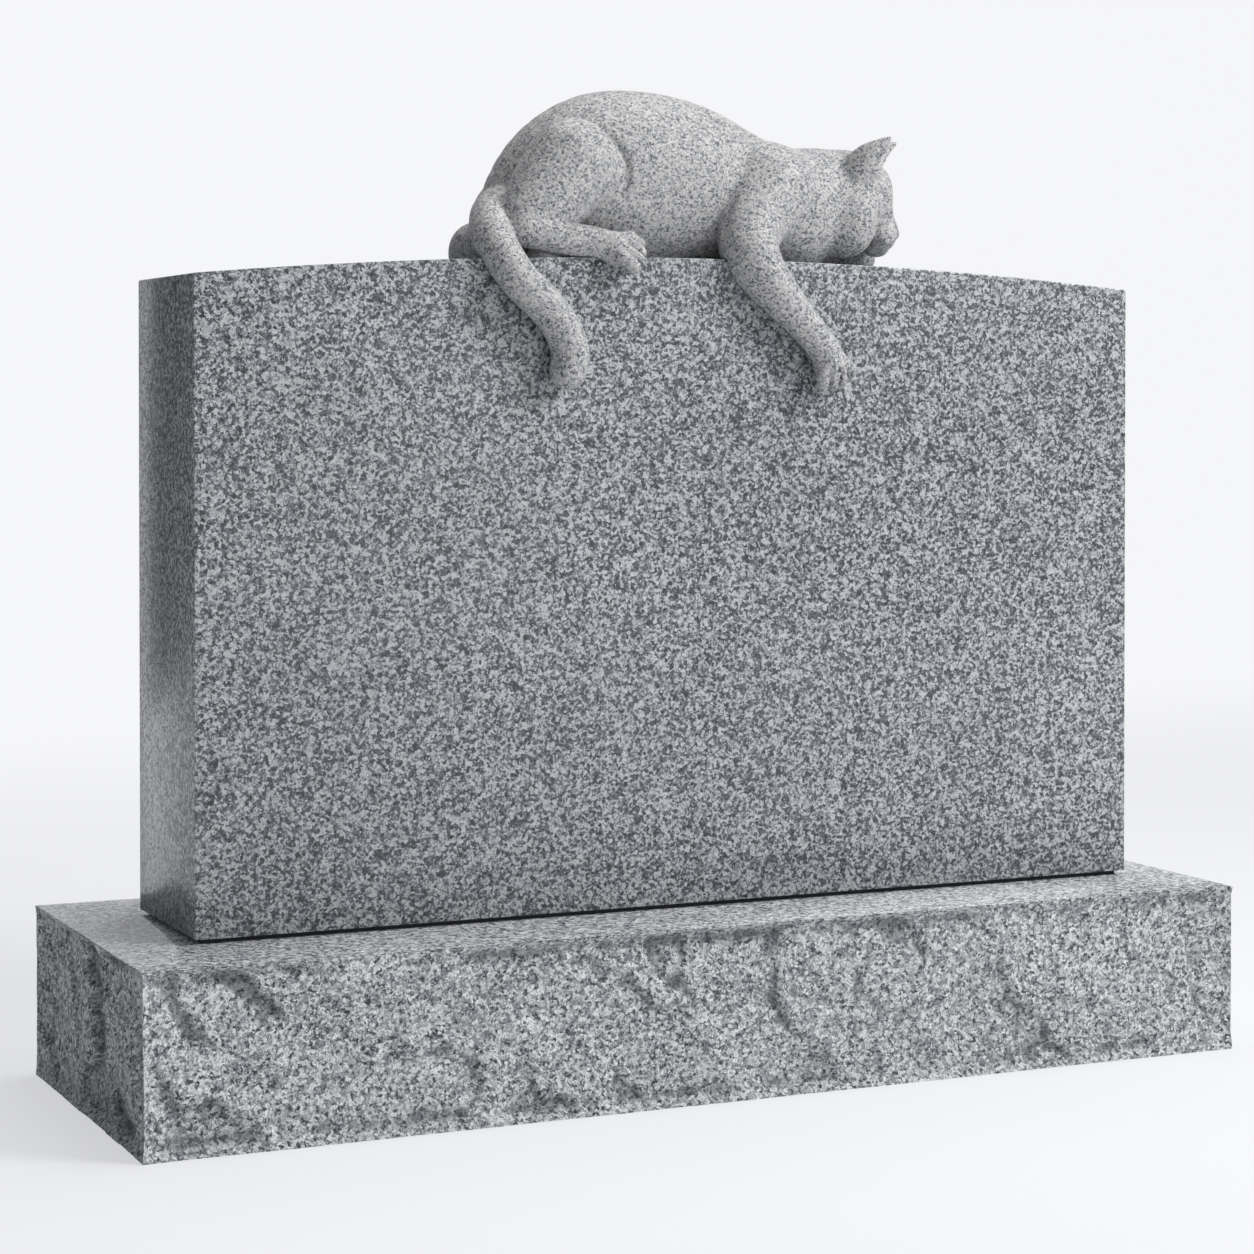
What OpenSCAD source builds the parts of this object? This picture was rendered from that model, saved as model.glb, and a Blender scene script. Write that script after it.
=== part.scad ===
// A granite headstone built the way a mason sets one: a rock-pitched base, a bed of
// setting compound on four spacers, a die with an arched top, and a carved cat
// lying along the top of the die with its tail and one front leg over the edge.
// Millimetres. X runs along the width, Y to the back, Z up, centred under the base.

/* [Base] */
// Width of the base from side to side
base_w = 1040; // [980:1:1200]
// Depth of the base from front to back
base_d = 356; // [300:1:450]
// Height of the base
base_h = 152; // [100:1:250]
// Deepest chip struck off the rock-pitched sides
pitch_depth = 8; // [2:0.5:12]

/* [Die] */
// Width of the die
die_w = 914.4; // [840:0.1:950]
// Depth of the die
die_d = 172; // [150:1:240]
// Height of the die at its two ends, below the arch
die_h = 553; // [400:1:800]
// How far the arched top rises at the middle
arch_rise = 21; // [8:1:80]
// How far the die stands right of the middle of the base
die_shift = 10; // [0:1:12]
// How far the die stands behind the middle of the base
die_set_back = 8; // [0:1:20]

/* [Setting joint] */
// Thickness of the setting compound under the die
joint_t = 4; // [3:0.5:8]
// How far the compound is raked back from the faces of the die
joint_rake = 7; // [4:1:20]
// Side of each square spacer in the joint
spacer_size = 25; // [15:1:40]
// Distance of the spacers from the ends and faces of the die
spacer_inset = 32; // [20:1:60]

/* [Cat] */
// Length of the cat from rump to nose
cat_l = 445; // [380:1:520]
// Thickness of the bedding joint between the cat and the die
cat_bed = 0.3; // [0.3:0.1:1]

/* [Parts] */
// Which piece to draw

/* [Hidden] */

// Where the die stands on its joint
die_bottom = base_h + joint_t;
arch_top = die_bottom + die_h + arch_rise;
die_front = die_set_back - die_d / 2;

// Radius of the arch through both ends and the raised middle
arch_r = (pow(die_w / 2, 2) + pow(arch_rise, 2)) / (2 * arch_rise);

// Columns and rows of chips on the pitched sides, and the seed of their pattern
chip_w = 34;
chip_rows = 5;
pitch_seed = 11;
chips_long = round(base_w / chip_w);
chips_short = round(base_d / chip_w);
chips_round = 2 * (chips_long + chips_short);
chip_depths = rands(0, 1, chips_round * (chip_rows + 1), pitch_seed);

// The cat is drawn for this length and scaled to the one asked for
cat_drawn_l = 445;
cat_size = cat_l / cat_drawn_l;
cutter_facets = 720;

base_colour = [0.60, 0.60, 0.62];
die_colour = [0.45, 0.47, 0.50];
cat_colour = [0.72, 0.72, 0.73];
joint_colour = [0.16, 0.16, 0.17];
spacer_colour = [0.30, 0.30, 0.32];

// ---------- base ----------

// Point i of the rectangle round the base, from the front left corner, anticlockwise
function side_of(i) =
    i < chips_long ? 0
    : i < chips_long + chips_short ? 1
    : i < 2 * chips_long + chips_short ? 2 : 3;

function along(i) =
    side_of(i) == 0 ? i / chips_long
    : side_of(i) == 1 ? (i - chips_long) / chips_short
    : side_of(i) == 2 ? (i - chips_long - chips_short) / chips_long
    : (i - 2 * chips_long - chips_short) / chips_short;

function edge_point(i, cut) =
    let (a = along(i), w = base_w / 2 - cut, d = base_d / 2 - cut, corner = a == 0)
    side_of(i) == 0 ? [corner ? -w : (a - 0.5) * base_w, -d]
    : side_of(i) == 1 ? [w, corner ? -d : (a - 0.5) * base_d]
    : side_of(i) == 2 ? [corner ? w : (0.5 - a) * base_w, d]
    : [-w, corner ? d : (0.5 - a) * base_d];

// Depth of the chip at column i and row k, with none at the top and bottom edges
function chip(i, k) =
    k == 0 || k == chip_rows ? 0 : pitch_depth * chip_depths[i * (chip_rows + 1) + k];

module base() {
    n = chips_round;
    rings = [
        for (k = [0:chip_rows], i = [0:n - 1])
            let (p = edge_point(i, chip(i, k)))
            [p[0], p[1], base_h * k / chip_rows]
    ];
    floor_mid = len(rings);
    top_mid = floor_mid + 1;
    points = concat(rings, [[0, 0, 0], [0, 0, base_h]]);
    walls = [
        for (k = [0:chip_rows - 1], i = [0:n - 1], half = [0:1])
            let (j = (i + 1) % n, a = k * n + i, b = k * n + j, c = a + n, d = b + n)
            half == 0 ? [a, c, b] : [b, c, d]
    ];
    top_ring = chip_rows * n;
    flats = [
        for (i = [0:n - 1], end = [0:1])
            let (j = (i + 1) % n)
            end == 0 ? [floor_mid, i, j] : [top_mid, top_ring + j, top_ring + i]
    ];
    color(base_colour)
        polyhedron(points = points, faces = concat(walls, flats));
}

// ---------- setting joint ----------

// Corner of spacer n, counted from the front left, anticlockwise
function spacer_corner(n) =
    let (
        x = die_w / 2 - spacer_inset - spacer_size,
        y = die_d / 2 - spacer_inset - spacer_size,
        right = n == 2 || n == 3,
        rear = n > 2
    )
    [
        die_shift + (right ? x : -x - spacer_size),
        die_set_back + (rear ? y : -y - spacer_size),
        base_h
    ];

module setting_compound() {
    bed_w = die_w - 2 * joint_rake;
    bed_d = die_d - 2 * joint_rake;
    color(joint_colour)
        difference() {
            translate([die_shift - bed_w / 2, die_set_back - bed_d / 2, base_h])
                cube([bed_w, bed_d, joint_t]);
            for (n = [1:4])
                translate(spacer_corner(n) - [0, 0, 1])
                    cube([spacer_size, spacer_size, joint_t + 2]);
        }
}

module setting_spacer(n) {
    color(spacer_colour)
        translate(spacer_corner(n))
            cube([spacer_size, spacer_size, joint_t]);
}

// ---------- die ----------

// The arched slab, grown by a margin all round to cut the bed of the cat
module arched_slab(margin) {
    translate([die_shift, die_set_back, 0])
        intersection() {
            translate([-die_w / 2 - margin, -die_d / 2 - margin, die_bottom])
                cube([die_w + 2 * margin, die_d + 2 * margin, die_h + arch_rise + 2 * margin]);
            translate([0, die_d, arch_top - arch_r])
                rotate([90, 0, 0])
                    cylinder(r = arch_r + margin, h = 2 * die_d);
        }
}

module die() {
    color(die_colour)
        arched_slab(0, $fn = 180);
}

// ---------- cat ----------

// The cat is drawn from the middle of the die's front top edge: X to its nose,
// Y back from the face of the die, Z up from the crown of the arch.

module pod(at, radii, facets = 24) {
    translate(at)
        scale(radii)
            sphere(r = 1, $fn = facets);
}

// A run of rounded links; each stop is [x, y, z, radius]
module limb(stops, facets = 18) {
    for (i = [0:len(stops) - 2])
        hull()
            for (s = [stops[i], stops[i + 1]])
                translate([s[0], s[1], s[2]])
                    sphere(r = s[3], $fn = facets);
}

module cat_body() {
    hull() {
        pod([-136, 80, 42], [66, 60, 68]);
        pod([-86, 78, 72], [60, 66, 76]);
    }
    hull() {
        pod([-86, 78, 72], [60, 66, 76]);
        pod([-30, 78, 76], [60, 66, 79]);
    }
    hull() {
        pod([-30, 78, 76], [60, 66, 79]);
        pod([50, 78, 60], [60, 62, 78]);
    }
    hull() {
        pod([50, 78, 60], [60, 62, 78]);
        pod([112, 74, 50], [50, 54, 60]);
    }
}

module cat_head() {
    hull() {
        pod([112, 74, 50], [50, 54, 60]);
        pod([168, 68, 58], [34, 42, 46]);
    }
    pod([190, 66, 59], [46, 45, 47]);
    hull() {
        pod([204, 64, 40], [26, 32, 26]);
        pod([224, 64, 28], [18, 20, 18]);
    }
    for (side = [-1, 1])
        hull() {
            translate([222, 66 + side * 26, 92])
                rotate([0, 20, side * 14])
                    scale([17, 6, 17])
                        sphere(r = 1, $fn = 16);
            translate([242, 66 + side * 30, 114])
                sphere(r = 4, $fn = 12);
        }
}

module cat_paw(at, turn, drop, reach) {
    translate(at)
        rotate([0, drop, turn])
            for (toe = [-1.5:1:1.5])
                hull() {
                    translate([-reach / 2, toe * 6, 0])
                        sphere(r = 10, $fn = 12);
                    translate([reach / 2 - abs(toe) * 3, toe * 8.5, -2])
                        sphere(r = 7.5, $fn = 12);
                }
}

module cat_fore_legs() {
    pod([84, 34, 60], [50, 30, 52]);
    limb([[62, 26, 26, 30], [62, 4, 2, 27], [80, -13, -33, 21], [103, -16, -62, 18],
        [123, -17, -84, 16.5], [130, -18, -96, 16]]);
    cat_paw([135, -17, -102], 0, 62, 16);
    limb([[120, 100, 24, 24], [190, 92, 16, 17], [214, 88, 13, 15]]);
    cat_paw([220, 84, 9], 0, 0, 16);
}

module cat_hind_legs() {
    pod([-112, 30, 66], [60, 30, 56]);
    limb([[-158, 14, 28, 15], [-120, 11, 16, 15], [-92, 7, 11, 15]]);
    cat_paw([-76, 2, 8], -20, 8, 24);
    pod([-130, 128, 50], [58, 24, 50]);
}

module cat_tail() {
    limb([[-176, 66, 34, 26], [-190, 32, 30, 23], [-186, 2, 6, 20], [-172, -14, -24, 18],
        [-149, -16, -48, 17.5], [-133, -16, -68, 17], [-127, -16, -86, 17],
        [-129, -16, -102, 16]]);
}

module cat() {
    color(cat_colour)
        difference() {
            translate([die_shift, die_front, arch_top])
                scale(cat_size)
                    union() {
                        cat_body();
                        cat_head();
                        cat_fore_legs();
                        cat_hind_legs();
                        cat_tail();
                    }
            arched_slab(cat_bed, $fn = cutter_facets);
        }
}

base();
setting_compound();
setting_spacer(1);  // setting_spacer_1
setting_spacer(2);  // setting_spacer_2
setting_spacer(3);  // setting_spacer_3
setting_spacer(4);  // setting_spacer_4
die();
cat();
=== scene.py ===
import math

import bmesh
import bpy
import numpy as np
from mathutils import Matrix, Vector


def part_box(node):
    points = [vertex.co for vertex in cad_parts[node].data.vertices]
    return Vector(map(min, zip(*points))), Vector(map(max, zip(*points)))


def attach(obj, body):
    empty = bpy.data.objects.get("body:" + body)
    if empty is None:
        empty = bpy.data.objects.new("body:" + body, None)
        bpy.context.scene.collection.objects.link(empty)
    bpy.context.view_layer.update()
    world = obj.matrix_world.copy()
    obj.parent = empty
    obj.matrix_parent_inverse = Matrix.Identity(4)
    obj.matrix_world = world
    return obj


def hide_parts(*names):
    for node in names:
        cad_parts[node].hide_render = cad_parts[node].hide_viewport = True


bl_info = {
    "name": "Headstone with a sleeping cat",
    "version": (1, 0, 0),
    "blender": (4, 5, 0),
    "location": "3D View > Sidebar > Headstone",
    "description": "Finishes the granite headstone: pitched base, polished die and carved cat",
    "category": "Object",
}

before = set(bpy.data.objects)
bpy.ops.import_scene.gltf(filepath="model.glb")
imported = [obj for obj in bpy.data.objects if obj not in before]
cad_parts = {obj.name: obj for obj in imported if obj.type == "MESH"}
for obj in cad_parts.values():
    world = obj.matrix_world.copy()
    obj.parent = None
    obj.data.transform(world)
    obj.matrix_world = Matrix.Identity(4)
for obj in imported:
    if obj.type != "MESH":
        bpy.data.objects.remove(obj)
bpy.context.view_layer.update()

MM = 0.001
BASE_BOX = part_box("base")
DIE_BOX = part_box("die")
CAT_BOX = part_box("cat")
SPACERS = [f"setting_spacer_{n}" for n in range(1, 5)]


# ---------- what a user would change ----------

class StoneSizes(bpy.types.PropertyGroup):
    """Sizes of the worked stone."""
    arris: bpy.props.FloatProperty(
        name="Arris", description="Rounding of the sawn edges of the die",
        default=1.6 * MM, min=0.5 * MM, max=6 * MM, subtype="DISTANCE", unit="LENGTH")
    arch_rise: bpy.props.FloatProperty(
        name="Arch rise", description="How far the top of the die rises at the middle",
        default=21 * MM, min=5 * MM, max=80 * MM, subtype="DISTANCE", unit="LENGTH")
    pitch_depth: bpy.props.FloatProperty(
        name="Pitch depth", description="Deepest scoop struck off the sides of the base",
        default=21 * MM, min=2 * MM, max=30 * MM, subtype="DISTANCE", unit="LENGTH")
    pitch_step: bpy.props.FloatProperty(
        name="Pitch step", description="Spacing of the points on the pitched sides",
        default=3.6 * MM, min=2 * MM, max=12 * MM, subtype="DISTANCE", unit="LENGTH")
    cat_step: bpy.props.FloatProperty(
        name="Carving step", description="Spacing of the points on the carved cat",
        default=1.88 * MM, min=1.2 * MM, max=5 * MM, subtype="DISTANCE", unit="LENGTH")
    grain: bpy.props.FloatProperty(
        name="Grain", description="Size of the crystals in the granite",
        default=2.7 * MM, min=1 * MM, max=10 * MM, subtype="DISTANCE", unit="LENGTH")


class StoneColours(bpy.types.PropertyGroup):
    """Colours of the crystals and of the joint."""
    feldspar: bpy.props.FloatVectorProperty(
        name="Feldspar", description="The palest crystals",
        default=(0.53, 0.545, 0.565), size=3, min=0, max=1, subtype="COLOR")
    quartz: bpy.props.FloatVectorProperty(
        name="Quartz", description="The grey crystals",
        default=(0.165, 0.18, 0.20), size=3, min=0, max=1, subtype="COLOR")
    mica: bpy.props.FloatVectorProperty(
        name="Mica", description="The dark flecks",
        default=(0.026, 0.030, 0.036), size=3, min=0, max=1, subtype="COLOR")
    compound: bpy.props.FloatVectorProperty(
        name="Compound", description="The setting compound in the joint",
        default=(0.035, 0.036, 0.038), size=3, min=0, max=1, subtype="COLOR")
    floor: bpy.props.FloatVectorProperty(
        name="Floor", description="The plain floor and backdrop",
        default=(0.95, 0.955, 0.97), size=3, min=0, max=1, subtype="COLOR")


# ---------- shader building ----------

class Signal:
    """A number that varies over a surface. Arithmetic on it adds Math nodes."""

    def __init__(self, tree, socket):
        self.tree = tree
        self.socket = socket

    def work(self, operation, *items):
        node = self.tree.nodes.new("ShaderNodeMath")
        node.operation = operation
        for slot, item in zip(node.inputs, items):
            if isinstance(item, Signal):
                self.tree.links.new(item.socket, slot)
            else:
                slot.default_value = item
        return Signal(self.tree, node.outputs[0])

    def __add__(self, other):
        return self.work("ADD", self, other)

    __radd__ = __add__

    def __sub__(self, other):
        return self.work("SUBTRACT", self, other)

    def __rsub__(self, other):
        return self.work("SUBTRACT", other, self)

    def __mul__(self, other):
        return self.work("MULTIPLY", self, other)

    __rmul__ = __mul__

    def __abs__(self):
        return self.work("ABSOLUTE", self)

    def most(self, other):
        return self.work("MAXIMUM", self, other)


class Finish:
    """A material under construction."""

    def __init__(self, name):
        self.material = bpy.data.materials.new(name)
        self.material.use_nodes = True
        self.tree = self.material.node_tree
        self.tree.nodes.clear()
        self.shader = self.add("ShaderNodeBsdfPrincipled")
        output = self.add("ShaderNodeOutputMaterial")
        self.tree.links.new(self.shader.outputs[0], output.inputs["Surface"])

    def feed(self, slot, item):
        if isinstance(item, Signal):
            self.tree.links.new(item.socket, slot)
        elif isinstance(item, bpy.types.NodeSocket):
            self.tree.links.new(item, slot)
        else:
            slot.default_value = item

    def add(self, kind, settings=None, inputs=None):
        node = self.tree.nodes.new(kind)
        for key, item in (settings or {}).items():
            if key == "stops":
                ramp = node.color_ramp
                while len(ramp.elements) < len(item):
                    ramp.elements.new(0.5)
                for element, (place, colour) in zip(ramp.elements, item):
                    element.position = place
                    element.color = (*colour, 1)
            else:
                setattr(node, key, item)
        for key, item in (inputs or {}).items():
            self.feed(node.inputs[key], item)
        return node

    def signal(self, node, output=0):
        return Signal(self.tree, node.outputs[output])

    def place(self):
        return self.add("ShaderNodeTexCoord").outputs["Object"]

    def noise(self, where, size, detail=2.0, distortion=0.0):
        return self.add("ShaderNodeTexNoise", inputs={
            "Vector": where, "Scale": 1 / size, "Detail": detail, "Distortion": distortion})

    def step(self, signal, low, high):
        """0 below low, 1 above high, and smooth between."""
        node = self.add("ShaderNodeMapRange", {"interpolation_type": "SMOOTHSTEP"}, {
            "Value": signal, "From Min": low, "From Max": high})
        return self.signal(node)

    def blend(self, amount, first, second, kind="MIX"):
        node = self.add("ShaderNodeMix", {"data_type": "RGBA", "blend_type": kind})
        self.feed(node.inputs["Factor"], amount)
        for name, item in (("A", first), ("B", second)):
            slots = [s for s in node.inputs if s.name == name and s.type == "RGBA"]
            if not isinstance(item, (Signal, bpy.types.NodeSocket)):
                item = (*item, 1) if len(item) == 3 else item
            self.feed(slots[0], item)
        return [s for s in node.outputs if s.type == "RGBA"][0]

    def set(self, **inputs):
        for key, item in inputs.items():
            self.feed(self.shader.inputs[key.replace("_", " ")], item)


def lift(colour, amount, warmth=0.0):
    """The colour made paler or darker, and a little warmer."""
    red, green, blue = (c * amount for c in colour)
    return (min(1.0, red * (1 + warmth)), min(1.0, green), min(1.0, blue * (1 - warmth)))


def crystals(finish, grain, tones, mica_share=0.25, pale_from=0.52, vein=0.030):
    """Interlocking crystals in three tones. Returns the colour, and where the mica is."""
    spot = finish.place()
    wobble = finish.noise(spot, grain * 1.1, detail=2.0)
    shifted = finish.add("ShaderNodeVectorMath", {"operation": "MULTIPLY_ADD"}, {
        0: wobble.outputs["Color"], 1: (grain * 1.9,) * 3, 2: spot}).outputs[0]
    parts = []
    for size in (grain, grain * 0.52):
        cells = finish.add("ShaderNodeTexVoronoi", {"feature": "F1"}, {
            "Vector": shifted, "Scale": 1 / size})
        split = finish.add("ShaderNodeSeparateColor", inputs={"Color": cells.outputs["Color"]})
        parts.append(finish.signal(split))
    tone = parts[0] * 0.62 + parts[1] * 0.38
    worm = finish.signal(finish.noise(spot, grain * 1.25, detail=1.5, distortion=1.4))
    veins = 1 - finish.step(abs(worm - 0.5), vein * 0.5, vein)
    feldspar, quartz, mica = tones
    ramp = finish.add("ShaderNodeValToRGB", {"stops": [
        (0.0, mica), (mica_share, mica), (mica_share + 0.10, quartz), (pale_from - 0.06, quartz),
        (pale_from + 0.10, feldspar), (0.86, lift(feldspar, 1.25))]}, {"Fac": tone})
    dark = 1 - finish.step(tone, mica_share, mica_share + 0.08)
    colour = finish.blend(veins * 0.62, ramp.outputs["Color"], lift(mica, 1.5))
    cloud = finish.signal(finish.noise(spot, 0.16, detail=3.0))
    cloud = finish.step(cloud, 0.3, 0.7)
    colour = finish.blend(cloud * 0.10, colour, lift(quartz, 0.8))
    return colour, dark.most(veins * 0.6), tone


def polished_granite(sizes, colours):
    finish = Finish("polished_granite")
    tones = (colours.feldspar, colours.quartz, colours.mica)
    colour, dark, tone = crystals(finish, sizes.grain, tones)
    pits = finish.add("ShaderNodeBump", inputs={
        "Strength": 0.06, "Distance": 0.3 * MM, "Height": 1 - dark})
    finish.set(Base_Color=colour, Roughness=0.20 + dark * 0.14, Normal=pits.outputs[0])
    finish.shader.inputs["IOR"].default_value = 1.52
    return finish.material


def pitched_granite(sizes, colours, top):
    """Broken stone on the sides, polished on the top face, with painted shade darkening the deepest creases of
    the sides.
    """
    finish = Finish("pitched_granite")
    tones = (lift(colours.feldspar, 1.48, 0.03), lift(colours.quartz, 2.15, 0.03), lift(colours.mica, 1.4))
    colour, dark, tone = crystals(finish, sizes.grain * 1.05, tones, mica_share=0.22)
    spot = finish.place()
    height = finish.signal(finish.add("ShaderNodeSeparateXYZ", inputs={"Vector": spot}), 2)
    flat = finish.step(height, top - 0.7 * MM, top - 0.2 * MM)
    hollow = finish.signal(finish.add("ShaderNodeAttribute", {"attribute_name": "hollow"}), 2)
    # Painted shade: the colour is blended towards a dark quartz tone where the struck sides lie deepest between
    # their ridges.
    colour = finish.blend(finish.step(hollow, 0.0, 1.0) * 0.60, colour, lift(colours.quartz, 0.45))
    crumbs = finish.signal(finish.noise(spot, 2.4 * MM, detail=4.0))
    facets = finish.signal(finish.noise(spot, 9 * MM, detail=3.0))
    relief = (crumbs * 0.5 + facets * 0.5 + tone * 0.25) * (1 - flat)
    broken = finish.add("ShaderNodeBump", inputs={
        "Strength": 1.0, "Distance": 3.4 * MM, "Height": relief})
    rough = 0.62 + dark * 0.1
    finish.set(Base_Color=colour, Roughness=rough * (1 - flat) + flat * (0.035 + dark * 0.03),
               Normal=broken.outputs[0])
    finish.shader.inputs["IOR"].default_value = 1.52
    return finish.material


def honed_granite(sizes, colours):
    finish = Finish("honed_granite")
    tones = (lift(colours.feldspar, 1.10, 0.05), lift(colours.quartz, 2.1, 0.05), lift(colours.mica, 1.9))
    colour, dark, tone = crystals(finish, sizes.grain * 0.62, tones, mica_share=0.21,
                                  pale_from=0.46, vein=0.024)
    hollow = finish.signal(finish.add("ShaderNodeAttribute", {"attribute_name": "hollow"}), 2)
    # Painted shade: the colour is blended towards a dark quartz tone in the creases and hollows of the carving.
    colour = finish.blend(finish.step(hollow, 0.10, 1.0) * 0.55, colour, lift(colours.quartz, 0.42))
    spot = finish.place()
    sugar = finish.signal(finish.noise(spot, 1.1 * MM, detail=3.0))
    skin = finish.add("ShaderNodeBump", inputs={
        "Strength": 0.45, "Distance": 0.6 * MM, "Height": sugar * 0.6 + (1 - dark) * 0.4})
    finish.set(Base_Color=colour, Roughness=0.50 + dark * 0.12, Normal=skin.outputs[0])
    finish.shader.inputs["IOR"].default_value = 1.5
    return finish.material


def setting_finish(name, tone):
    """Matt compound with a slightly dragged surface."""
    finish = Finish(name)
    spot = finish.place()
    drag = finish.signal(finish.noise(spot, 6 * MM, detail=4.0))
    colour = finish.blend(drag, lift(tone, 0.7), lift(tone, 1.5))
    skin = finish.add("ShaderNodeBump", inputs={
        "Strength": 0.4, "Distance": 0.6 * MM, "Height": drag})
    finish.set(Base_Color=colour, Roughness=0.7 + drag * 0.2, Normal=skin.outputs[0])
    return finish.material


# ---------- mesh helpers ----------

def piece_from(name, vertices, faces, material, body="root", smooth=True):
    mesh = bpy.data.meshes.new(name)
    mesh.from_pydata([tuple(v) for v in vertices], [], [tuple(int(i) for i in f) for f in faces])
    mesh.validate()
    mesh.update()
    mesh.materials.append(material)
    if smooth:
        mesh.polygons.foreach_set("use_smooth", [True] * len(mesh.polygons))
    piece = bpy.data.objects.new(name, mesh)
    bpy.context.scene.collection.objects.link(piece)
    if body:
        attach(piece, body)
    return piece


def write_attribute(mesh, name, values):
    layer = mesh.attributes.new(name, "FLOAT", "POINT")
    layer.data.foreach_set("value", np.asarray(values, np.float32))


def lattice_noise(points, size, seed):
    """Smooth noise from -1 to 1 at each point, from a lattice of random numbers."""
    random = np.random.default_rng(seed)
    table = random.uniform(-1, 1, 4096)
    scaled = points / size
    corner = np.floor(scaled).astype(np.int64)
    part = scaled - corner
    part = part * part * (3 - 2 * part)
    total = np.zeros(len(points))
    for offset in np.ndindex(2, 2, 2):
        cell = corner + np.array(offset)
        key = (cell[:, 0] * 73856093) ^ (cell[:, 1] * 19349663) ^ (cell[:, 2] * 83492791)
        weight = np.prod(np.where(np.array(offset) == 1, part, 1 - part), axis=1)
        total += table[key % len(table)] * weight
    return total


# ---------- base ----------

def base_scoops(run, height, perimeter, tall, random):
    """How deep each point on the sides is struck, 0 to 1. Scoops lean, and meet in crisp ridges."""
    lean = math.radians(50)
    count = 118
    along = random.uniform(0, perimeter, count)
    up = random.uniform(-0.1, 1.05, count) * tall
    reach = random.uniform(0.75, 1.45, count)
    level = random.uniform(0.15, 1.0, count)
    best = np.full(len(run), 9.0)
    depth = np.zeros(len(run))
    for a, h, r, d in zip(along, up, reach, level):
        dx = (run - a + perimeter / 2) % perimeter - perimeter / 2
        dz = height - h
        major = dx * math.cos(lean) - dz * math.sin(lean)
        minor = dx * math.sin(lean) + dz * math.cos(lean)
        near = np.sqrt((major / (0.105 * r)) ** 2 + (minor / (0.042 * r)) ** 2)
        closer = near < best
        best = np.where(closer, near, best)
        depth = np.where(closer, d * np.clip(1.0 - 0.70 * near ** 2.0, 0.0, 1), depth)
    return depth


def build_base(sizes, colours):
    low, high = BASE_BOX
    width, deep, tall = high.x - low.x, high.y - low.y, high.z - low.z
    step = sizes.pitch_step
    long_count, short_count = round(width / step), round(deep / step)
    rows = round(tall / step)
    corners = [(low.x, low.y), (high.x, low.y), (high.x, high.y), (low.x, high.y)]
    ring, inward = [], []
    for side in range(4):
        start, end = np.array(corners[side]), np.array(corners[(side + 1) % 4])
        count = long_count if side % 2 == 0 else short_count
        ahead = (end - start) / np.linalg.norm(end - start)
        left = np.array([-ahead[1], ahead[0]])
        before = (start - np.array(corners[side - 1]))
        before = before / np.linalg.norm(before)
        for i in range(count):
            ring.append(start + (end - start) * i / count)
            corner_in = left + np.array([-before[1], before[0]])
            inward.append(corner_in if i == 0 else left)
    ring, inward = np.array(ring), np.array(inward)
    count = len(ring)
    gaps = np.linalg.norm(np.roll(ring, -1, 0) - ring, axis=1)
    run = np.concatenate([[0], np.cumsum(gaps)[:-1]])
    perimeter = gaps.sum()
    random = np.random.default_rng(7)

    levels = np.linspace(0, 1, rows + 1)
    run_all = np.tile(run, rows + 1)
    level_all = np.repeat(levels, count)
    points = np.column_stack([np.tile(ring, (rows + 1, 1)), low.z + level_all * tall])
    wander = 0.016 * lattice_noise(points, 0.06, 5) + 0.007 * lattice_noise(points, 0.022, 6)
    depth = base_scoops(run_all + wander, level_all * tall + wander, perimeter, tall, random)
    depth = depth * 0.74 + 0.20 * (0.5 + 0.5 * lattice_noise(points, 0.045, 1))
    depth += 0.09 * lattice_noise(points, 0.013, 2) + 0.045 * lattice_noise(points, 0.006, 3)
    from_top = (1 - level_all) * tall
    from_bottom = level_all * tall
    corner_runs = np.array([0, long_count, long_count + short_count, 2 * long_count + short_count])
    marks = np.append(run[corner_runs], perimeter)
    to_corner = np.abs(run_all[:, None] - marks[None, :]).min(1)
    ease = np.clip(from_top / 0.010, 0, 1) ** 0.7 * np.clip(0.04 + from_bottom / 0.012, 0, 1) ** 0.7
    ease *= np.clip(0.05 + to_corner / 0.035, 0, 1) ** 0.8
    depth = np.clip(depth, 0.0, 1.0) * ease
    push = depth * sizes.pitch_depth
    points[:, :2] += np.tile(inward, (rows + 1, 1)) * push[:, None]

    arris_drop, arris_in = 1.2 * MM, 1.2 * MM
    points[-count:, 2] -= arris_drop
    inner = ring + inward * arris_in
    lid = np.column_stack([inner, np.full(count, high.z)])
    vertices = np.vstack([points, lid])
    faces = []
    for k in range(rows + 1):
        for i in range(count):
            j = (i + 1) % count
            faces.append((k * count + i, k * count + j, (k + 1) * count + j, (k + 1) * count + i))
    last = (rows + 1) * count
    faces.append(tuple(range(last, last + count)))
    faces.append(tuple(reversed(range(count))))
    material = pitched_granite(sizes, colours, high.z)
    piece = piece_from("pitched_base", vertices, faces, material)
    # How far each point lies below its smoothed surroundings, stored as the mask for the painted crease shade on
    # the pitched sides.
    grid = depth.reshape(rows + 1, count)
    calm = grid
    for _ in range(6):
        beside = np.roll(calm, 1, 1) + np.roll(calm, -1, 1)
        above = np.vstack([calm[1:], calm[-1:]]) + np.vstack([calm[:1], calm[:-1]])
        calm = (beside + above) / 4
    crease = np.clip((grid - calm) * 9.0, 0, 1).ravel()
    write_attribute(piece.data, "hollow", np.concatenate([crease, np.zeros(count)]))
    flat_faces = [len(faces) - 1, len(faces) - 2]
    for index in flat_faces:
        piece.data.polygons[index].use_smooth = False
    corner_bevel = 0.5
    piece.data.set_sharp_from_angle(angle=corner_bevel * math.pi)
    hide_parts("base")
    return piece


# ---------- die ----------

def arch_height(x, sizes):
    """Height of the arched top at x."""
    low, high = DIE_BOX
    half = (high.x - low.x) / 2
    radius = (half ** 2 + sizes.arch_rise ** 2) / (2 * sizes.arch_rise)
    from_middle = x - (low.x + high.x) / 2
    return high.z - radius + np.sqrt(radius ** 2 - from_middle ** 2)


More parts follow.
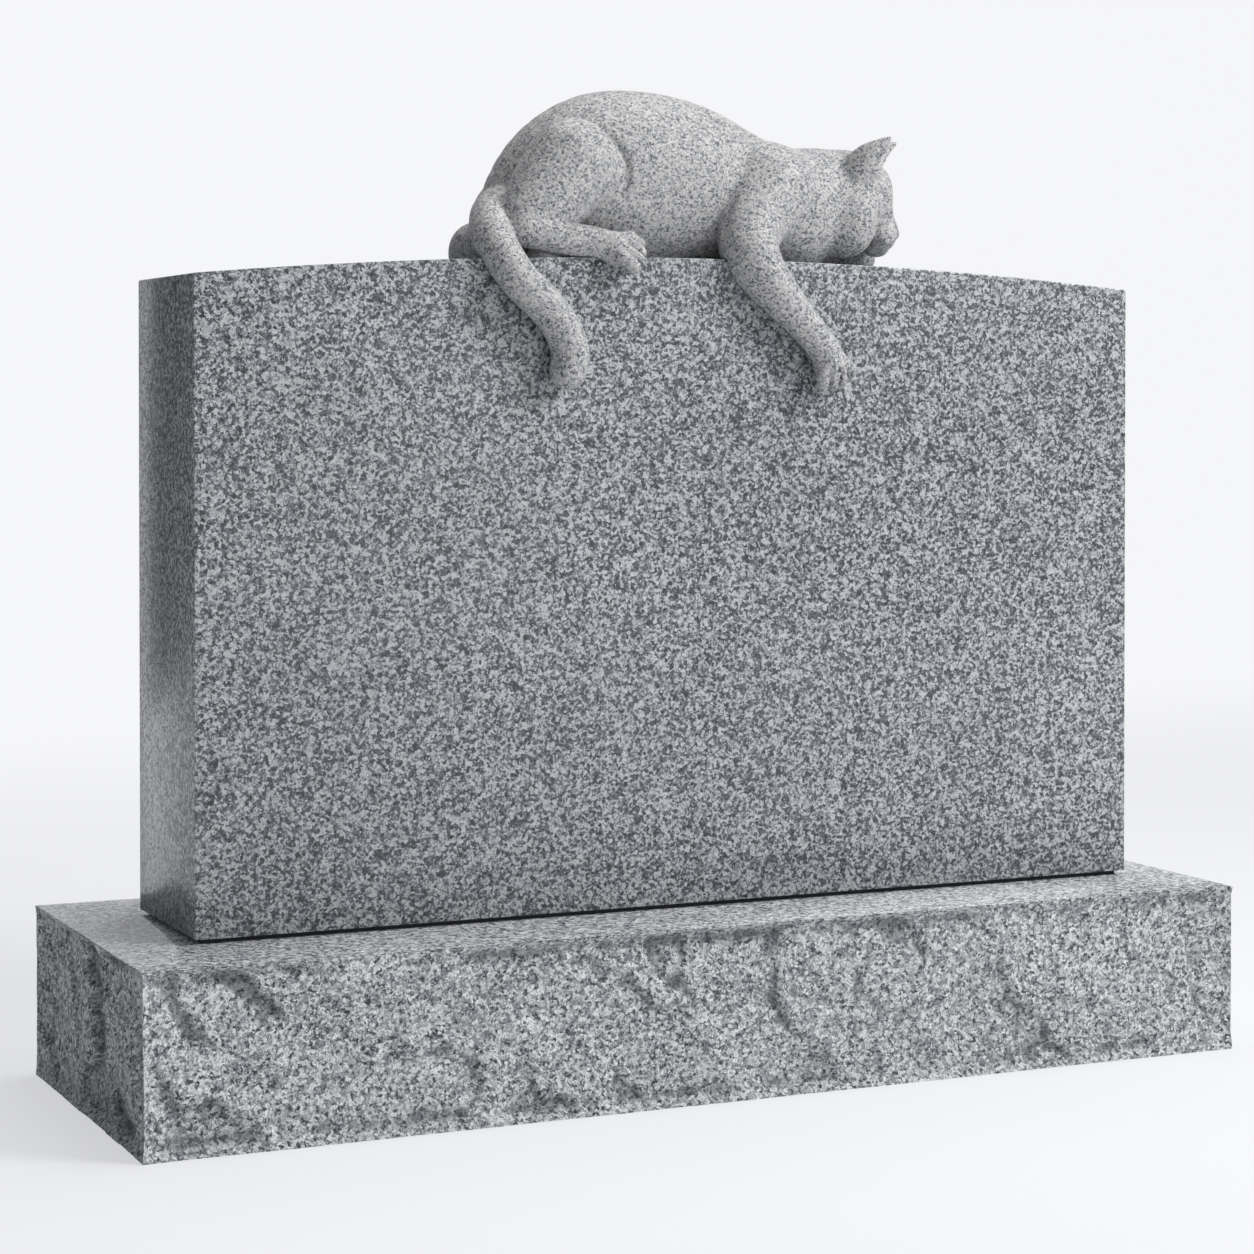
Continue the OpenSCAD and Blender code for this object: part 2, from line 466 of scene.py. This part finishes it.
def build_die(sizes, colours):
    low, high = DIE_BOX
    stops = 72
    xs = np.linspace(high.x, low.x, stops + 1)
    outline = [(low.x, low.z), (high.x, low.z)] + [(x, arch_height(x, sizes)) for x in xs]
    count = len(outline)
    vertices = [(x, low.y, z) for x, z in outline] + [(x, high.y, z) for x, z in outline]
    faces = [tuple(range(count)), tuple(reversed(range(count, 2 * count)))]
    faces += [(i, i + count, (i + 1) % count + count, (i + 1) % count) for i in range(count)]
    material = polished_granite(sizes, colours)
    piece = piece_from("arched_die", vertices, faces, material, smooth=False)
    shape = bmesh.new()
    shape.from_mesh(piece.data)
    sharp = [e for e in shape.edges if e.calc_face_angle(0) > math.radians(20)]
    bmesh.ops.bevel(shape, geom=sharp, offset=sizes.arris, segments=2, profile=0.6,
                    affect="EDGES", clamp_overlap=True)
    bmesh.ops.recalc_face_normals(shape, faces=shape.faces)
    shape.to_mesh(piece.data)
    shape.free()
    piece.data.polygons.foreach_set("use_smooth", [True] * len(piece.data.polygons))
    piece.data.set_sharp_from_angle(angle=math.radians(24))
    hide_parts("die")
    return piece


# ---------- clay, from which the cat is carved ----------
class Pod:
    """An ellipsoid, turned about the upright axis and then tipped about the cross axis."""
    def __init__(self, at, radii, turn=0.0, tip=0.0):
        self.at, self.radii = np.array(at, float), np.array(radii, float)
        t, p = np.radians(turn), np.radians(tip)
        upright = np.array([[np.cos(t), -np.sin(t), 0], [np.sin(t), np.cos(t), 0], [0, 0, 1]])
        cross = np.array([[np.cos(p), 0, np.sin(p)], [0, 1, 0], [-np.sin(p), 0, np.cos(p)]])
        self.axes = upright @ cross
        reach = np.abs(self.axes) @ self.radii
        self.low, self.high = self.at - reach, self.at + reach

    def distance(self, x, y, z):
        d = [x - self.at[0], y - self.at[1], z - self.at[2]]
        u = [sum(d[j] * self.axes[j, i] for j in range(3)) / self.radii[i] for i in range(3)]
        near = np.sqrt(sum(v * v for v in u)) + 1e-9
        slope = np.sqrt(sum((v / r) ** 2 for v, r in zip(u, self.radii))) + 1e-9
        return near * (near - 1) / slope

def smooth_stops(stops, steps):
    """Stops along a curve through the given ones, with the radius carried along."""
    s = np.array(stops, float)
    s = np.vstack([2 * s[0] - s[1], s, 2 * s[-1] - s[-2]])
    out = []
    for i in range(1, len(s) - 2):
        for t in np.linspace(0, 1, steps, endpoint=False):
            a, b, c, d = s[i - 1:i + 3]
            out.append(0.5 * (2 * b + (c - a) * t + (2 * a - 5 * b + 4 * c - d) * t ** 2
                              + (3 * b - a - 3 * c + d) * t ** 3))
    return np.array(out + [s[-2]])

class Limb:
    """A round rod along a curve. Each stop is x, y, z, radius; flat squeezes it front to back."""
    def __init__(self, stops, flat=1.0, steps=4):
        self.stops = smooth_stops(stops, steps) if steps > 1 else np.array(stops, float)
        self.flat = flat
        reach = self.stops[:, 3:4]
        self.low = (self.stops[:, :3] - reach).min(0)
        self.high = (self.stops[:, :3] + reach).max(0)

    def distance(self, x, y, z):
        best = None
        for a, b in zip(self.stops[:-1], self.stops[1:]):
            scale = np.array([1, 1 / self.flat, 1])
            run = (b[:3] - a[:3]) * scale
            dx, dy, dz = x - a[0], (y - a[1]) / self.flat, z - a[2]
            t = np.clip((dx * run[0] + dy * run[1] + dz * run[2]) / max(run @ run, 1e-9), 0, 1)
            d = np.sqrt((dx - t * run[0]) ** 2 + (dy - t * run[1]) ** 2 + (dz - t * run[2]) ** 2)
            d = d - (a[3] + t * (b[3] - a[3]))
            best = d if best is None else np.minimum(best, d)
        return best

def soft_min(a, b, soft):
    h = np.clip(0.5 + 0.5 * (b - a) / soft, 0, 1)
    return b + (a - b) * h - soft * h * (1 - h)

class Clay:
    """A block of distances on a grid that shapes are added to and carved from."""
    def __init__(self, low, high, pitch):
        self.low, self.high, self.pitch = np.array(low, float), high, pitch
        self.count = np.ceil((np.array(high) - self.low) / pitch).astype(int) + 1
        self.ticks = [(self.low[i] + pitch * np.arange(self.count[i])).astype(np.float32) for i in range(3)]
        self.far = 40.0
        self.field = np.full(self.count, self.far, np.float32)

    def blank(self):
        """An empty block of the same size, for a limb that joins the rest as one."""
        return Clay(self.low, self.high, self.pitch)

    def window(self, shape, margin):
        lo = np.floor((shape.low - margin - self.low) / self.pitch).astype(int)
        hi = np.ceil((shape.high + margin - self.low) / self.pitch).astype(int) + 1
        lo, hi = np.clip(lo, 0, self.count), np.clip(hi, 0, self.count)
        cut = tuple(slice(a, b) for a, b in zip(lo, hi))
        return cut, np.meshgrid(*[t[c] for t, c in zip(self.ticks, cut)], indexing="ij", sparse=True)

    def add(self, shape, soft=8.0):
        cut, xyz = self.window(shape, soft + 8)
        self.field[cut] = soft_min(self.field[cut], shape.distance(*xyz).astype(np.float32), soft)

    def carve(self, shape, soft=2.0):
        cut, xyz = self.window(shape, soft + 3)
        self.field[cut] = -soft_min(-self.field[cut], shape.distance(*xyz).astype(np.float32), soft)

    def join(self, other, soft):
        self.field = soft_min(self.field, other.field, soft)

    def skin(self):
        """Vertices and four-sided faces of the surface, one vertex in each cell it passes through."""
        f, n = self.field, self.count
        inside = f < 0
        cells = n - 1
        total = np.zeros(tuple(cells) + (3,), np.float32)
        hits = np.zeros(tuple(cells), np.float32)
        for axis in range(3):
            a = [slice(None)] * 3; b = [slice(None)] * 3
            a[axis], b[axis] = slice(0, -1), slice(1, None)
            fa, fb = f[tuple(a)], f[tuple(b)]
            cross = inside[tuple(a)] != inside[tuple(b)]
            t = np.where(cross, fa / np.where(cross, fa - fb, 1), 0)
            others = [i for i in range(3) if i != axis]
            for p in (0, 1):
                for q in (0, 1):
                    s = [slice(None)] * 3
                    s[others[0]] = slice(p, p + cells[others[0]])
                    s[others[1]] = slice(q, q + cells[others[1]])
                    c = cross[tuple(s)]
                    hits += c
                    total[..., axis] += np.where(c, t[tuple(s)], 0)
                    total[..., others[0]] += c * p
                    total[..., others[1]] += c * q
        used = hits > 0
        number = np.full(tuple(cells), -1, np.int64)
        number[used] = np.arange(used.sum())
        where = np.argwhere(used)
        verts = self.low + self.pitch * (where + total[used] / hits[used][:, None])
        faces = []
        for axis in range(3):
            a = [slice(None)] * 3; b = [slice(None)] * 3
            a[axis], b[axis] = slice(0, -1), slice(1, None)
            ia, ib = inside[tuple(a)], inside[tuple(b)]
            o1, o2 = (axis + 1) % 3, (axis + 2) % 3
            spots = np.argwhere(ia != ib)
            ok = (spots[:, o1] > 0) & (spots[:, o2] > 0) & (spots[:, o1] < cells[o1]) & (spots[:, o2] < cells[o2])
            spots = spots[ok]
            out = ia[tuple(spots.T)]
            def cell(d1, d2):
                c = spots.copy(); c[:, o1] += d1; c[:, o2] += d2
                return number[tuple(c.T)]
            quad = np.stack([cell(-1, -1), cell(0, -1), cell(0, 0), cell(-1, 0)], 1)
            quad[~out] = quad[~out][:, ::-1]
            faces.append(quad)
        return verts, np.vstack(faces)

# The cat is drawn in millimetres from the middle of the die's front top edge:
# X to its nose, Y back from the face of the die, Z up from the crown of the arch.

CAT_LOW = (-216, -38, -121)
CAT_HIGH = (248, 154, 158)
SKULL = np.array([192.5, 58.0, 61.0])
LOOK = -34.0


def on_head(forward, side, up, radius=None):
    """A point given from the middle of the skull, along the way the cat faces."""
    t = math.radians(LOOK)
    x = SKULL[0] + forward * math.cos(t) - side * math.sin(t)
    y = SKULL[1] + forward * math.sin(t) + side * math.cos(t)
    return (x, y, SKULL[2] + up) if radius is None else (x, y, SKULL[2] + up, radius)


def model_body(clay):
    clay.add(Limb([
        (-143, 78, 12, 42), (-106, 78, 58, 57), (-62, 78, 69, 79), (-25, 78, 71, 83),
        (18, 77, 67, 80), (60, 75, 57, 71), (98, 73, 50, 62), (136, 70, 48, 53)],
        flat=0.80), 1)
    clay.add(Limb([(136, 70, 48, 53), (163, 64, 56, 44), (180, 60, 58, 40)]), 14)
    clay.add(Pod((-104, 118, 38), (60, 24, 46)), 12)
    clay.add(Pod((-166, 108, 6), (23, 24, 27)), 9)


def model_head(block):
    clay = block.blank()
    clay.add(Pod(on_head(-4, 0, 1), (40, 40, 44), LOOK), 9)
    clay.add(Pod(on_head(16, 0, 8), (20, 27, 24), LOOK), 8)
    for side in (-1, 1):
        clay.add(Pod(on_head(-5, side * 27, -20), (31, 22, 36), LOOK), 6)
        clay.add(Pod(on_head(29, side * 8, -37), (11, 11, 10), LOOK), 4)
    clay.add(Limb([on_head(18, 0, -10, 19), on_head(31, 0, -27, 11.5)], steps=1), 7)
    clay.add(Pod(on_head(37.5, 0, -33), (6.5, 8.5, 6), LOOK), 3)
    clay.add(Pod(on_head(22, 0, -46), (12, 12, 8), LOOK), 4)
    for side in (-1, 1):
        model_ear(clay, side)
        eye = [on_head(29.5, side * 26.5, -6, 1.6), on_head(32, side * 22.5, -12, 2.3),
               on_head(33, side * 18, -15.5, 2.3), on_head(31.5, side * 13.5, -18, 1.6)]
        clay.add(Pod(on_head(24, side * 20, -9), (9, 8, 8), LOOK), 4)
        clay.carve(Limb(eye), 1.6)
        clay.carve(Limb([on_head(41.5, side * 3, -38, 1.6), on_head(39, side * 10, -43, 1.5),
                         on_head(33, side * 16, -46, 1.4), on_head(25, side * 20, -44.5, 1.0)]), 1.5)
        clay.carve(Pod(on_head(43.5, side * 5, -33), (2, 2.4, 1.6), LOOK), 1.2)
    clay.carve(Limb([on_head(44.5, 0, -35, 1.3), on_head(42, 0, -41, 1.3)], steps=1), 1.2)
    block.join(clay, 4)
    block.add(Pod((160, 66, 84), (34, 30, 22)), 14)


def model_ear(clay, side):
    clay.add(Limb([on_head(8, side * 23, 24, 18), on_head(17, side * 27, 36, 13.5),
                   on_head(28, side * 29, 46, 7.5), on_head(37.5, side * 30, 54, 2.2)]), 4)
    clay.carve(Limb([on_head(27, side * 27, 24, 8.5), on_head(30.5, side * 29.5, 34, 8),
                     on_head(37, side * 30.5, 44, 5), on_head(41, side * 31, 51, 2)]), 1.5)


def model_hind_leg(clay):
    leg = clay.blank()
    leg.add(Limb([(-104, 30, 80, 43), (-126, 27, 56, 38), (-148, 21, 36, 27)], flat=0.78), 1)
    leg.add(Limb([(-156, 15, 24, 17), (-124, 10, 15.5, 15.5), (-96, 5, 12, 14.5),
                  (-80, 0, 8, 14)]), 4)
    model_paw(leg, (-74, -3, 6), (1, -0.30, -0.35), (-0.1, -0.75, 0.66), 6.0, 17)
    clay.join(leg, 3)
    clay.carve(Limb([(-100, 34, 124, 1.5), (-80, 25, 116, 2.6), (-63, 17, 97, 3.2), (-57, 13, 76, 3.2),
                     (-62, 13, 56, 3.2), (-76, 14, 40, 2.6)]), 3)


def model_fore_leg(clay):
    leg = clay.blank()
    leg.add(Limb([
        (94, 42, 66, 40), (78, 31, 46, 36), (62, 13, 22, 29), (59, -1, 0, 25.5),
        (78, -12, -30, 19.5), (103, -15, -57, 15.4), (123, -16, -80, 14.4),
        (130, -16.5, -94, 14.5)]), 1)
    leg.add(Pod((86, 47, 74), (36, 30, 37)), 10)
    model_paw(leg, (131, -18, -96), (0.30, 0, -1), (0, -1, 0), 5.9, 13)
    clay.join(leg, 4)
    clay.add(Pod((116, 44, 60), (38, 28, 40)), 20)
    clay.add(Pod((128, 47, 34), (30, 26, 36)), 14)
    clay.carve(Limb([(30, 58, 143, 1.5), (38, 42, 131, 2.2), (46, 27, 112, 2.8), (49, 17, 90, 3.2),
                     (46, 11, 62, 3.4), (37, 8, 38, 3.4), (30, 3, 18, 3.0)]), 3.5)
    clay.add(Limb([(130, 104, 24, 22), (190, 96, 14, 15), (219, 88, 8, 13)]), 6)


def model_paw(clay, at, way, out, toe_radius, reach):
    """Four toes side by side, the middle two longer; way is forwards and out is off the stone."""
    at, way, out = (np.array(v, float) for v in (at, way, out))
    way /= np.linalg.norm(way)
    across = np.cross(way, out)
    across /= np.linalg.norm(across)
    out = np.cross(across, way)
    clay.add(Pod(at + way * 1, (16.5, 13, 15)), 5)
    for place in (-1.5, -0.5, 0.5, 1.5):
        longer = 2.5 if abs(place) < 1 else 0
        knuckle = at + across * place * 8.6 + way * (reach * 0.35 + longer) + out * 4.5
        tip = at + across * place * 9.4 + way * (reach + longer) + out * 0.5
        clay.add(Limb([(*(at + across * place * 5), 9), (*knuckle, toe_radius + 0.9),
                       (*tip, toe_radius)], steps=3), 1.0)
    for place in (-1, 0, 1):
        groove = [at + across * place * 8.4 + way * (reach * 0.05) + out * 13.5,
                  at + across * place * 9.0 + way * (reach * 0.55) + out * 9.5,
                  at + across * place * 9.6 + way * reach + out * 5.5,
                  at + across * place * 9.8 + way * (reach + 7) + out * -2]
        clay.carve(Limb([(*g, 1.8) for g in groove]), 1.0)


def model_tail(clay):
    tail = clay.blank()
    tail.add(Limb([
        (-160, 62, 40, 23), (-176, 40, 33, 20), (-186, 16, 18, 18.5), (-184, -7, -3, 17.5),
        (-172, -16, -24, 17), (-148, -16.5, -46, 16.5), (-132, -16.5, -67, 16.6),
        (-126, -16.5, -86, 16.8), (-128, -16.5, -101, 16.2)]), 1)
    clay.join(tail, 4)


def bed_on_slab(clay, radius, bed):
    """Cuts away what would be inside the arched slab, leaving the bedding joint."""
    x, y, z = np.meshgrid(*clay.ticks, indexing="ij", sparse=True)
    above = z + x * x / (2 * radius) - bed
    clay.field = np.maximum(clay.field, np.minimum(-above, y + bed)).astype(np.float32)


def shape_cat(step, arch_radius, bed):
    clay = Clay(CAT_LOW, CAT_HIGH, step)
    for part in (model_body, model_hind_leg, model_fore_leg, model_head, model_tail):
        part(clay)
    bed_on_slab(clay, arch_radius, bed)
    return clay.skin()


def relax(vertices, faces, passes, pull):
    """Moves each vertex towards the middle of its neighbours, and back a little, to calm the steps."""
    pairs = np.vstack([faces[:, [i, (i + 1) % 4]] for i in range(4)])
    count = np.bincount(pairs.ravel(), minlength=len(vertices))[:, None]
    for move in [pull, -pull * 1.04] * passes:
        total = np.zeros_like(vertices)
        for axis in range(3):
            total[:, axis] = (
                np.bincount(pairs[:, 0], vertices[pairs[:, 1], axis], len(vertices))
                + np.bincount(pairs[:, 1], vertices[pairs[:, 0], axis], len(vertices)))
        vertices = vertices + move * (total / count - vertices)
    return vertices


def hollows_for_painted_shade(vertices, faces, reach):
    """How far each vertex sits below its surroundings: 0 on a swell, 1 deep in a crease. It masks the painted
    shade in the cat's creases.
    """
    calm = relax_only(vertices, faces, reach)
    corners = vertices[faces]
    normals = np.cross(corners[:, 2] - corners[:, 0], corners[:, 3] - corners[:, 1])
    out = np.zeros_like(vertices)
    for i in range(4):
        for axis in range(3):
            out[:, axis] += np.bincount(faces[:, i], normals[:, axis], len(vertices))
    out /= np.linalg.norm(out, axis=1)[:, None] + 1e-9
    return np.clip(((calm - vertices) * out).sum(1) / 1.6, 0, 1)


def relax_only(vertices, faces, passes):
    pairs = np.vstack([faces[:, [i, (i + 1) % 4]] for i in range(4)])
    count = np.bincount(pairs.ravel(), minlength=len(vertices))[:, None]
    for _ in range(passes):
        total = np.column_stack([
            np.bincount(pairs[:, 0], vertices[pairs[:, 1], axis], len(vertices))
            + np.bincount(pairs[:, 1], vertices[pairs[:, 0], axis], len(vertices))
            for axis in range(3)])
        vertices = vertices * 0.4 + 0.6 * total / count
    return vertices


def build_cat(sizes, colours):
    low, high = DIE_BOX
    half = (high.x - low.x) / 2
    radius = (half ** 2 + sizes.arch_rise ** 2) / (2 * sizes.arch_rise) / MM
    bed = 0.5
    vertices, faces = shape_cat(sizes.cat_step / MM, radius, bed)
    vertices = relax(vertices, faces, 2, 0.5)
    sag = -vertices[:, 0] ** 2 / (2 * radius)
    inside = (vertices[:, 1] > -bed) & (vertices[:, 2] < sag + bed)
    to_top = sag + bed - vertices[:, 2]
    to_face = vertices[:, 1] + bed
    vertices[:, 2] = np.where(inside & (to_top <= to_face), sag + bed, vertices[:, 2])
    vertices[:, 1] = np.where(inside & (to_top > to_face), -bed, vertices[:, 1])
    # Crease depth, kept as the mask for the painted shade in the carving's hollows.
    crease = hollows_for_painted_shade(vertices, faces, 14)
    place = np.array([(low.x + high.x) / 2, low.y, high.z])
    vertices = vertices * MM + place
    margin = 0.2 * MM
    vertices = np.clip(vertices, np.array(CAT_BOX[0]) + margin, np.array(CAT_BOX[1]) - margin)
    piece = piece_from("carved_cat", vertices, faces, honed_granite(sizes, colours))
    write_attribute(piece.data, "hollow", crease)
    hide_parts("cat")
    return piece



# ---------- stage ----------

def soft_lamp(name, at, aim, size, watts, colour=(1, 1, 1)):
    light = bpy.data.lights.new(name, "AREA")
    light.shape = "RECTANGLE"
    light.size, light.size_y = size
    light.energy = watts
    light.color = colour
    lamp = bpy.data.objects.new(name, light)
    lamp.location = at
    lamp.rotation_euler = (Vector(aim) - Vector(at)).to_track_quat("-Z", "Y").to_euler()
    bpy.context.scene.collection.objects.link(lamp)
    return lamp


def build_stage(colours):
    scene = bpy.context.scene
    scene.view_settings.view_transform = "Standard"

    half = 14.0
    sweep = [(-9.0, 0.0), (5.0, 0.0)]
    bend, turn = 2.5, 16
    for i in range(1, turn + 1):
        angle = math.pi / 2 * i / turn
        sweep.append((5.0 + bend * math.sin(angle), bend - bend * math.cos(angle)))
    sweep.append((5.0 + bend, 9.0))
    vertices = [(x, y, z - 0.2 * MM) for y, z in sweep for x in (-half, half)]
    faces = [(2 * i, 2 * i + 1, 2 * i + 3, 2 * i + 2) for i in range(len(sweep) - 1)]
    finish = Finish("studio_paper")
    finish.set(Base_Color=(*colours.floor, 1), Roughness=0.9)
    glow = finish.add("ShaderNodeEmission", inputs={"Color": (*colours.floor, 1), "Strength": 1.0})
    path = finish.add("ShaderNodeLightPath")
    seen = Signal(finish.tree, path.outputs["Is Camera Ray"])
    glossy = Signal(finish.tree, path.outputs["Is Glossy Ray"])
    spot = finish.add("ShaderNodeSeparateXYZ", inputs={"Vector": finish.place()})
    back, high = finish.signal(spot, 1), finish.signal(spot, 2)
    mixed = finish.add("ShaderNodeMixShader", inputs={
        "Fac": seen.most(glossy) * (0.58 + 0.37 * finish.step(back + high, 0.6, 3.2)),
        1: finish.shader.outputs[0], 2: glow.outputs[0]})
    output = [n for n in finish.tree.nodes if n.type == "OUTPUT_MATERIAL"][0]
    finish.tree.links.new(mixed.outputs[0], output.inputs["Surface"])
    floor = piece_from("studio_floor", vertices, faces, finish.material, body=None)

    dark = Finish("studio_flag")
    dark.set(Base_Color=(0.08, 0.08, 0.082, 1), Roughness=0.95)
    flag_at = [(-2.6, 3.0, -0.9), (-0.75, 3.0, -0.9), (-0.75, 3.0, 2.4), (-2.6, 3.0, 2.4)]
    flag = piece_from("studio_flag", flag_at, [(0, 1, 2, 3)], dark.material, body=None, smooth=False)
    flag.visible_camera = False
    flag.visible_shadow = False
    flag.visible_diffuse = False

    world = bpy.data.worlds.new("studio_air")
    scene.world = world
    world.use_nodes = True
    air = world.node_tree.nodes["Background"]
    air.inputs["Color"].default_value = (0.95, 0.97, 1.0, 1)
    air.inputs["Strength"].default_value = 0.20

    middle = (0, 0, 0.45)
    soft_lamp("key", (2.7, -2.5, 2.9), middle, (1.5, 1.3), 118)
    soft_lamp("front_fill", (0.8, -4.8, 1.0), middle, (3.0, 2.0), 20)
    soft_lamp("top", (0.5, 0.2, 3.2), middle, (2.0, 1.4), 40)

    lens_data = bpy.data.cameras.new("view")
    lens_data.sensor_width = 36
    lens_data.lens = 86.735
    lens_data.shift_y = -0.13705
    camera = bpy.data.objects.new("view", lens_data)
    camera.location = (-1.15835, -2.49591, 0.6002)
    turn_right, tip_down = 0.4283, 0.0168
    camera.rotation_euler = (math.pi / 2 - tip_down, 0, -turn_right)
    scene.collection.objects.link(camera)
    scene.camera = camera


# ---------- operators ----------

class SetJoint(bpy.types.Operator):
    """Finish the setting compound and its four spacers"""
    bl_idname = "headstone.set_joint"
    bl_label = "Setting joint"

    def execute(self, context):
        colours = context.scene.stone_colours
        compound = setting_finish("setting_compound", colours.compound)
        cushion = setting_finish("setting_cushion", lift(colours.compound, 1.8))
        for name in ["setting_compound"] + SPACERS:
            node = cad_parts[name]
            node.data.materials.clear()
            node.data.materials.append(compound if name == "setting_compound" else cushion)
        return {"FINISHED"}


class PitchBase(bpy.types.Operator):
    """Pitch the sides of the base and polish its top"""
    bl_idname = "headstone.pitch_base"
    bl_label = "Base"

    def execute(self, context):
        build_base(context.scene.stone_sizes, context.scene.stone_colours)
        return {"FINISHED"}


class CutDie(bpy.types.Operator):
    """Cut and polish the arched die"""
    bl_idname = "headstone.cut_die"
    bl_label = "Die"

    def execute(self, context):
        build_die(context.scene.stone_sizes, context.scene.stone_colours)
        return {"FINISHED"}


class CarveCat(bpy.types.Operator):
    """Carve the sleeping cat"""
    bl_idname = "headstone.carve_cat"
    bl_label = "Cat"

    def execute(self, context):
        build_cat(context.scene.stone_sizes, context.scene.stone_colours)
        return {"FINISHED"}


class SetStage(bpy.types.Operator):
    """Lay the floor, hang the lamps and place the camera"""
    bl_idname = "headstone.set_stage"
    bl_label = "Stage"

    def execute(self, context):
        build_stage(context.scene.stone_colours)
        return {"FINISHED"}


class HeadstonePanel(bpy.types.Panel):
    """The steps in the order they are worked"""
    bl_idname = "VIEW3D_PT_headstone"
    bl_label = "Headstone"
    bl_space_type = "VIEW_3D"
    bl_region_type = "UI"
    bl_category = "Headstone"

    def draw(self, context):
        for group in (context.scene.stone_sizes, context.scene.stone_colours):
            for name in group.bl_rna.properties.keys():
                if name not in ("rna_type", "name"):
                    self.layout.prop(group, name)
        for step in STEPS:
            self.layout.operator(step.bl_idname)


STEPS = [SetJoint, PitchBase, CutDie, CarveCat, SetStage]
CLASSES = [StoneSizes, StoneColours, *STEPS, HeadstonePanel]


def register():
    for item in CLASSES:
        bpy.utils.register_class(item)
    bpy.types.Scene.stone_sizes = bpy.props.PointerProperty(type=StoneSizes)
    bpy.types.Scene.stone_colours = bpy.props.PointerProperty(type=StoneColours)


def unregister():
    del bpy.types.Scene.stone_colours
    del bpy.types.Scene.stone_sizes
    for item in reversed(CLASSES):
        bpy.utils.unregister_class(item)


def main():
    register()
    for step in STEPS:
        group, name = step.bl_idname.split(".")
        getattr(getattr(bpy.ops, group), name)()


if __name__ == "__main__":
    main()
